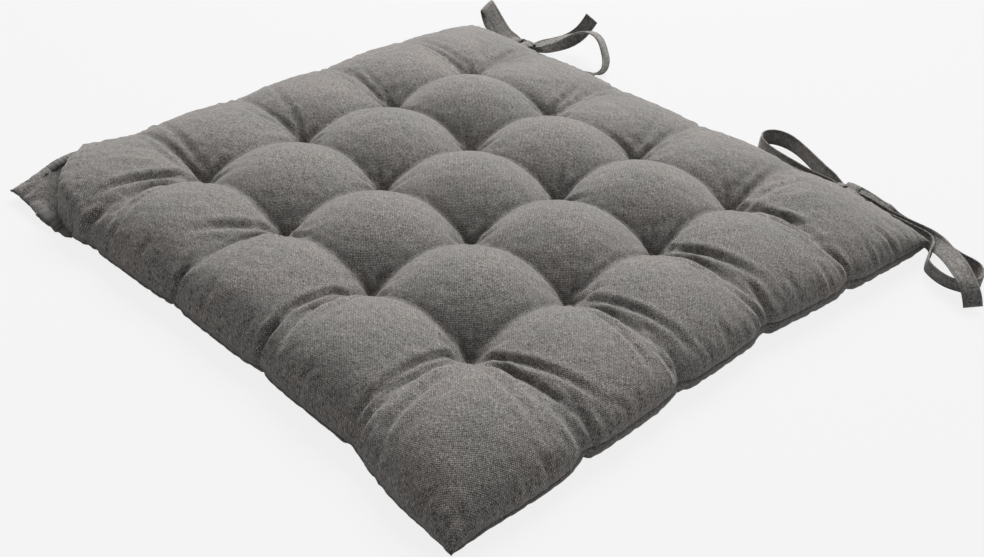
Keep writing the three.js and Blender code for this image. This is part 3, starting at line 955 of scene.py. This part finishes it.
def make_panel(name, grid, fine, side, material):
    """One panel of the cover: its outer face, its turned-in seam allowance and its inner face."""
    grid = doubled(grid)
    lines = doubled(np.stack([fine, fine], axis=-1)[:, None].repeat(2, 1))[:, 0, 0]
    x, y = np.meshgrid(lines, lines, indexing="ij")
    normals = grid_normals(grid, side)
    inside = np.maximum(outward(x), outward(y))
    depth = cover_folds(x, y, side) * (1 - 0.6 * (side < 0))
    grid = grid + depth[..., None] * normals
    n = len(lines)
    # The panel rolls over into the seam groove.
    from_edge = np.minimum(HALF - np.abs(x), HALF - np.abs(y))
    inner = grid[np.clip(np.arange(n), 4, n - 5)][:, np.clip(np.arange(n), 4, n - 5)]
    inwards = inner - grid
    inwards[..., 2] = 0
    inwards = unit(inwards)
    groove = 1.5 * MM * np.exp(-((from_edge / (1.2 * MM)) ** 2))
    grid = grid + groove[..., None] * inwards
    grid[..., 2] += side * 0.3 * MM * np.exp(-((from_edge / (1.5 * MM)) ** 2))
    if side < 0:
        grid[..., 2] = np.maximum(grid[..., 2], 0.15 * MM)
    normals = grid_normals(grid, side)
    # Painted shade in the cloth's creases and a painted highlight on its ridges.
    painted_shading = np.clip(crease_and_ridge_shading(grid, normals), -1, 1)
    # Painted shade: the cloth is darkened along the seam groove.
    painted_shading = np.maximum(painted_shading, 0.9 * np.exp(-((from_edge / (1.6 * MM)) ** 2)))
    # Painted shade: the cloth is darkened along the deep fold across the front left corner.
    if side > 0:
        deep = np.exp(-(((ear(x, y) - 4 * MM) / (8 * MM)) ** 2)) * (1 - inside**12)
        painted_shading = np.maximum(painted_shading, np.minimum(1.2 * deep, 1))
    lining = grid - normals * CANVAS
    if side < 0:
        lining[..., 2] = np.maximum(lining[..., 2], grid[..., 2] + 0.3 * MM)
    k = np.arange(n - 1)
    rim = np.concatenate(
        [
            np.stack([k, 0 * k], 1),
            np.stack([0 * k + n - 1, k], 1),
            np.stack([n - 1 - k, 0 * k + n - 1], 1),
            np.stack([0 * k, n - 1 - k], 1),
        ]
    )
    edge = grid[rim[:, 0], rim[:, 1]]
    way = inwards[rim[:, 0], rim[:, 1]]
    near = edge + way * 1.5 * MM
    near[:, 2] -= side * 0.1 * MM
    far = edge + way * (ALLOWANCE + 2 * MM)
    far[:, 2] = near[:, 2]
    far_in, near_in = far.copy(), edge + way * 2.5 * MM
    far_in[:, 2] += side * CANVAS
    near_in[:, 2] = near[:, 2] + side * CANVAS
    count, size = n * n, len(rim)
    points = np.vstack([grid.reshape(-1, 3), lining.reshape(-1, 3), near, far, far_in, near_in])
    points[:, 2] = np.maximum(points[:, 2], 0.15 * MM)
    ids = np.arange(count).reshape(n, n)
    quads = grid_quads(ids)
    outer_rim = ids[rim[:, 0], rim[:, 1]]
    chain = [outer_rim] + [2 * count + r * size + np.arange(size) for r in range(4)]
    chain.append(count + outer_rim)
    bands = [
        np.stack([a, np.roll(a, -1), np.roll(b, -1), b], axis=-1)[:, ::-1]
        for a, b in zip(chain, chain[1:])
    ]
    faces = np.vstack([quads, quads[:, ::-1] + count, *bands])
    if side < 0:
        faces = faces[:, ::-1]
    cloth = np.stack([x * EASE, y * EASE, np.full_like(x, 0.05 * side)], axis=-1).reshape(-1, 3)
    rim_cloth = cloth[outer_rim]
    weave = np.vstack([cloth, cloth, rim_cloth, rim_cloth, rim_cloth, rim_cloth])
    # Painted shade: the turned-in seam allowance is darkened.
    rim_painted_shade = np.full(4 * size, 0.9)
    painted_shading = np.concatenate([painted_shading.ravel(), painted_shading.ravel(), rim_painted_shade])
    attributes = {"weave": weave, "painted_shading": painted_shading}
    piece = make_piece(name + "_cloth", points, faces, material, attributes)
    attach(piece, "pad")
    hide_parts(name)
    return piece, edge, way


def make_filling(top, under, material):
    """The fibre filling: a lumpy body just inside the cover, stopping short of the seam."""
    skip = 4
    cut = slice(skip, -skip)
    rng = np.random.default_rng(9)
    faces_in = []
    for grid, side in ((top, 1), (under, -1)):
        inset = grid - grid_normals(grid, side) * (6.0 if side > 0 else 3.0) * MM
        lumps = rng.normal(0, 0.35 * MM, grid.shape[:2])
        inset[..., 2] += lumps
        faces_in.append(inset[cut, cut])
    upper, lower = faces_in
    upper[..., 2] = np.maximum(upper[..., 2], 2.2 * MM)
    lower[..., 2] = np.clip(lower[..., 2], 1.0 * MM, upper[..., 2] - 1.0 * MM)
    n = len(upper)
    ids = np.arange(n * n).reshape(n, n)
    quads = grid_quads(ids)
    rim = np.concatenate([ids[:-1, 0], ids[-1, :-1], ids[:0:-1, -1], ids[0, :0:-1]])
    band = np.stack([rim, np.roll(rim, -1), np.roll(rim, -1) + n * n, rim + n * n], -1)[:, ::-1]
    points = np.vstack([upper.reshape(-1, 3), lower.reshape(-1, 3)])
    faces = np.vstack([quads, quads[:, ::-1] + n * n, band])
    piece = make_piece("fibre_filling_loft", points, faces, material)
    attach(piece, "pad")
    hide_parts("fibre_filling")


# ---------------------------------------------------------------- threads


def make_thread(name, line, radius, material, closed=False, sides=6):
    points, faces = tube(line, radius, sides, closed)
    piece = make_piece(name + "_sewn", points, faces, material)
    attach(piece, "pad")
    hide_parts(name)


def make_seam_threads(edge, way, material):
    """The machine-sewn seam thread, and the hand-sewn closing stitches in the back edge."""
    inset = edge + way * (ALLOWANCE - 2 * MM)
    in_closing = (np.abs(edge[:, 0]) < 0.5 * CLOSING) & (edge[:, 1] > 0.5 * HALF)
    start = int(np.flatnonzero(in_closing & ~np.roll(in_closing, -1))[0])
    order = np.roll(np.arange(len(edge)), -start)
    sewn = order[~in_closing[order]]
    (line,) = respaced(inset[sewn], 1.0 * MM)
    line[:, 2] += 0.25 * MM * np.sin(along(line) / (3.0 * MM) * 2 * math.pi)
    make_thread("perimeter_seam_thread", line, 0.25 * MM, material, sides=5)
    left = edge[in_closing]
    (line,) = respaced(left[np.argsort(left[:, 0])], 0.5 * MM)
    turn = along(line) / (4.0 * MM) * 2 * math.pi
    line[:, 1] += 0.4 * MM - 2.0 * MM * (0.5 + 0.5 * np.cos(turn))
    line[:, 2] += 1.5 * MM * np.sin(turn) - 0.3 * MM
    make_thread("closing_seam_thread", line, 0.28 * MM, material, sides=6)


def tuft_lines(fine):
    """Which grid lines the tufts are on."""
    return [int(np.argmin(np.abs(fine - t))) for t in TUFTS]


def tuft_loop(x, y, high, low):
    """A tuft's upright loop through the pad, with a small quarter turn at each corner."""
    reach, bend = 1.9 * MM, 0.7 * MM
    stops = []
    for side, up, start in ((1, 1, 90), (1, -1, 0), (-1, -1, -90), (-1, 1, 180)):
        z = high + 0.9 * MM if up > 0 else low - 0.7 * MM
        for k in range(4):
            angle = math.radians(start) - k / 3 * math.pi / 2
            across = x + side * (reach - bend) + bend * math.cos(angle)
            stops.append((across, y, z - up * bend + bend * math.sin(angle)))
    (line,) = respaced(np.array(stops + stops[:1]), TUFT_STEP)
    return line[:-1]


def make_tuft_threads(top, under, fine, material):
    """Sixteen twisted threads, each through the pad with a short stitch across each end."""
    at = tuft_lines(fine)
    for number, (b, a) in enumerate(itertools.product(at, at), start=1):
        line = tuft_loop(*top[a, b], under[a, b][2])
        ahead = unit(np.roll(line, -1, 0) - np.roll(line, 1, 0))
        across = np.tile((0.0, 1.0, 0.0), (len(line), 1))
        other = np.cross(ahead, across)
        turns = round(len(line) * TUFT_STEP / TUFT_TWIST)
        angle = 2 * math.pi * turns * np.arange(len(line)) / len(line)
        strands, faces, offset = [], [], 0
        for phase in (0, math.pi):
            wound = line + 0.3 * MM * (
                np.cos(angle + phase)[:, None] * across + np.sin(angle + phase)[:, None] * other
            )
            points, quads = tube(wound, 0.34 * MM, 6, True)
            strands.append(points)
            faces += [tuple(i + offset for i in q) for q in quads]
            offset += len(points)
        name = f"tuft_thread_{number:02d}"
        piece = make_piece(name + "_twisted", np.vstack(strands), faces, material)
        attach(piece, "pad")
        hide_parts(name)


# ---------------------------------------------------------------- studio


def add_light(name, place, target, size, power):
    light = bpy.data.lights.new(name, "AREA")
    light.shape = "DISK"
    light.size, light.energy = size, power
    holder = bpy.data.objects.new(name, light)
    holder.location = place
    aim = Vector(place) - Vector(target)
    holder.rotation_euler = aim.to_track_quat("Z", "Y").to_euler()
    bpy.context.scene.collection.objects.link(holder)


def make_studio():
    scene = bpy.context.scene
    scene.view_settings.view_transform = "Standard"
    world = bpy.data.worlds.new("studio")
    world.use_nodes = True
    scene.world = world
    background = world.node_tree.nodes["Background"]
    background.inputs["Color"].default_value = (1.0, 1.0, 1.0, 1)
    # The air lights the pad softly, and where the camera looks past the floor it is as pale.
    nodes, links = world.node_tree.nodes, world.node_tree.links
    strength = nodes.new("ShaderNodeMath")
    strength.operation = "MULTIPLY_ADD"
    strength.inputs[1].default_value, strength.inputs[2].default_value = AIR_SEEN, AIR_LIGHT
    links.new(nodes.new("ShaderNodeLightPath").outputs["Is Camera Ray"], strength.inputs[0])
    links.new(strength.outputs[0], background.inputs["Strength"])
    sun = bpy.data.lights.new("key", "SUN")
    sun.energy, sun.angle = KEY_POWER, math.radians(KEY_SPREAD)
    holder = bpy.data.objects.new("key", sun)
    holder.rotation_euler = Vector(KEY_FROM).to_track_quat("Z", "Y").to_euler()
    scene.collection.objects.link(holder)
    add_light("back_softbox", (-0.42, 0.62, 0.72), (-0.06, 0.06, 0), 0.7, 8)
    g = Graph("floor_paper")
    place = g.node("ShaderNodeTexCoord").outputs["Object"]
    grain = g.noise(place, 900.0, 2.0)
    color = g.blend(g.scaled(grain, 0.3, 0.7), (0.7, 0.7, 0.7, 1), (0.72, 0.72, 0.72, 1))
    g.feed(g.shader.inputs["Base Color"], color)
    g.shader.inputs["Roughness"].default_value = 0.9
    g.shader.inputs["Specular IOR Level"].default_value = 0.0
    # The sheet glows like a light table, so that the shadows on it stay faint.
    glow = g.node("ShaderNodeEmission", {"Color": (*[FLOOR_GLOW] * 3, 1), "Strength": 1.0})
    seen = g.node("ShaderNodeLightPath").outputs["Is Camera Ray"]
    mixed = g.node("ShaderNodeMixShader", {"Fac": g.math("MULTIPLY", seen, FLOOR_SEEN)})
    g.tree.links.new(g.shader.outputs[0], mixed.inputs[1])
    g.tree.links.new(glow.outputs[0], mixed.inputs[2])
    g.tree.links.new(mixed.outputs[0], g.tree.nodes["Material Output"].inputs["Surface"])
    signs = ((-1, -1), (1, -1), (1, 1), (-1, 1))
    corners = [(x * FLOOR_REACH, y * FLOOR_REACH, -FLOOR_DROP) for x, y in signs]
    mesh = bpy.data.meshes.new("floor")
    mesh.from_pydata(corners, [], [(0, 1, 2, 3)])
    mesh.materials.append(g.material)
    floor = bpy.data.objects.new("floor", mesh)
    scene.collection.objects.link(floor)


# ---------------------------------------------------------------- scene

place_camera()
canvas = canvas_material("canvas_washed", CANVAS_TINT)
thread = thread_material()
fibre = filling_material()
for seed, (strip_name, strip) in enumerate(STRIPS.items(), start=1):
    make_strip(strip_name, strip, canvas, seed)
top, under, fine = simulate_cover()
_, edge, way = make_panel("cover_top_panel", top, fine, 1, canvas)
make_panel("cover_bottom_panel", under, fine, -1, canvas)
make_filling(top, under, fibre)
make_seam_threads(edge, way, thread)
make_tuft_threads(top, under, fine, thread)
make_studio()
